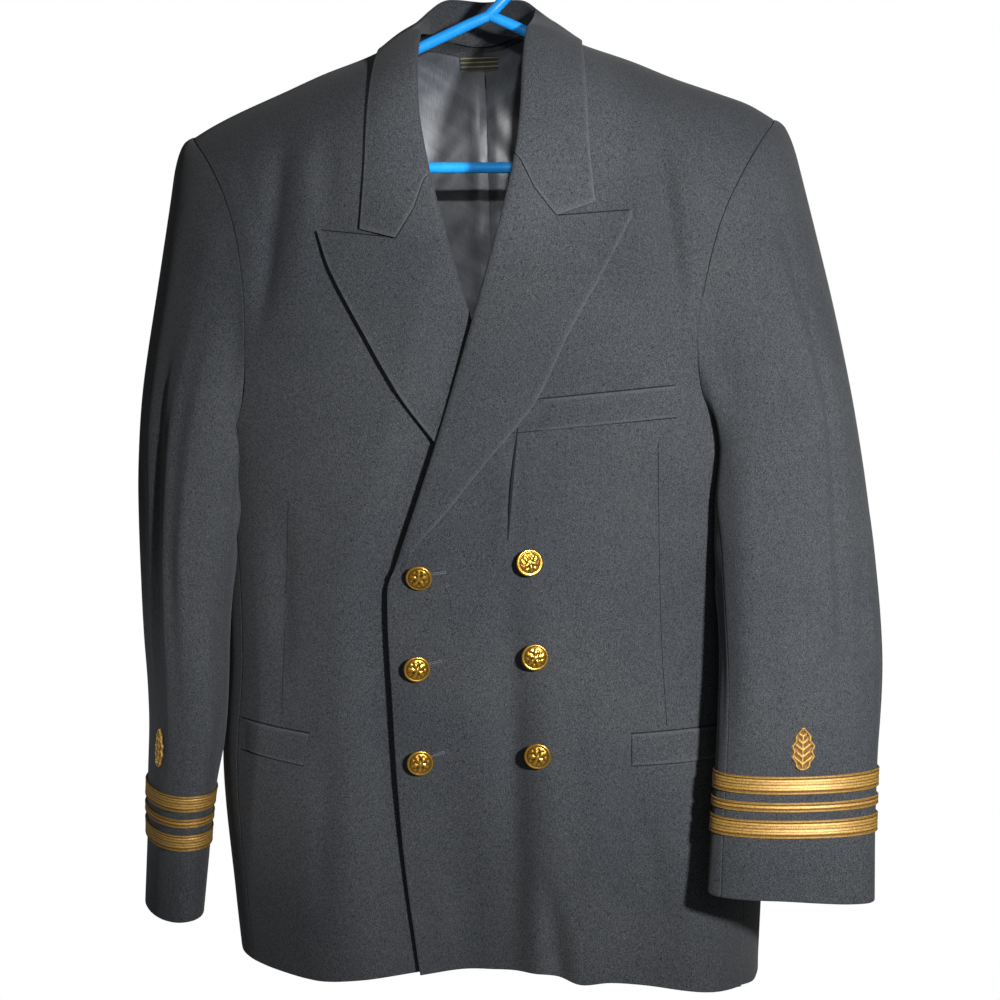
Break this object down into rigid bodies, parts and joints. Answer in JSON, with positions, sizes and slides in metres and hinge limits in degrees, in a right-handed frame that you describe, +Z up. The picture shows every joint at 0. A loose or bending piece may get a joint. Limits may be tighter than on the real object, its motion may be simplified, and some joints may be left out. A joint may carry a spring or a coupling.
{
  "type": "double-breasted dress jacket on a clothes hanger",
  "caption": "Dark double-breasted dress jacket with wide peak lapels, gold cuff lace and domed brass buttons, hanging open on a blue tubular hanger whose hook goes over a rail.",
  "frame": {"origin": "inside top of the hanger's hook, where the rail carries it; this is the mount hanger_hook", "axes": "+Z up, +X to the wearer's left, -Y to the jacket's front"},
  "size_m": [0.6406, 0.2628, 0.9161],
  "materials": {
    "wool": "matt navy wool twill",
    "satin": "grey satin lining",
    "gold_lace": "ribbed metal thread",
    "brass": "polished",
    "blue_plastic": "gloss",
    "label_cloth": "woven, blank"
  },
  "bodies": {
    "root": {"back_left": "wool", "back_right": "wool", "breast_welt": "wool", "button_1": "brass", "button_2": "brass", "button_3": "brass", "button_4": "brass", "button_5": "brass", "button_6": "brass", "collar": "wool", "front_left": "wool", "front_right": "wool", "hanger": "blue_plastic", "hip_welt_left": "wool", "hip_welt_right": "wool", "label": "label_cloth", "lace_left_1": "gold_lace", "lace_left_2": "gold_lace", "lace_left_3": "gold_lace", "lace_right_1": "gold_lace", "lace_right_2": "gold_lace", "lace_right_3": "gold_lace", "lapel_left": "wool", "lapel_right": "wool", "leaf_left": "gold_lace", "leaf_right": "gold_lace", "lining_back_left": "satin", "lining_back_right": "satin", "side_left": "wool", "side_right": "wool", "top_sleeve_left": "wool", "top_sleeve_right": "wool", "under_sleeve_left": "wool", "under_sleeve_right": "wool"}
  },
  "joints": []
}
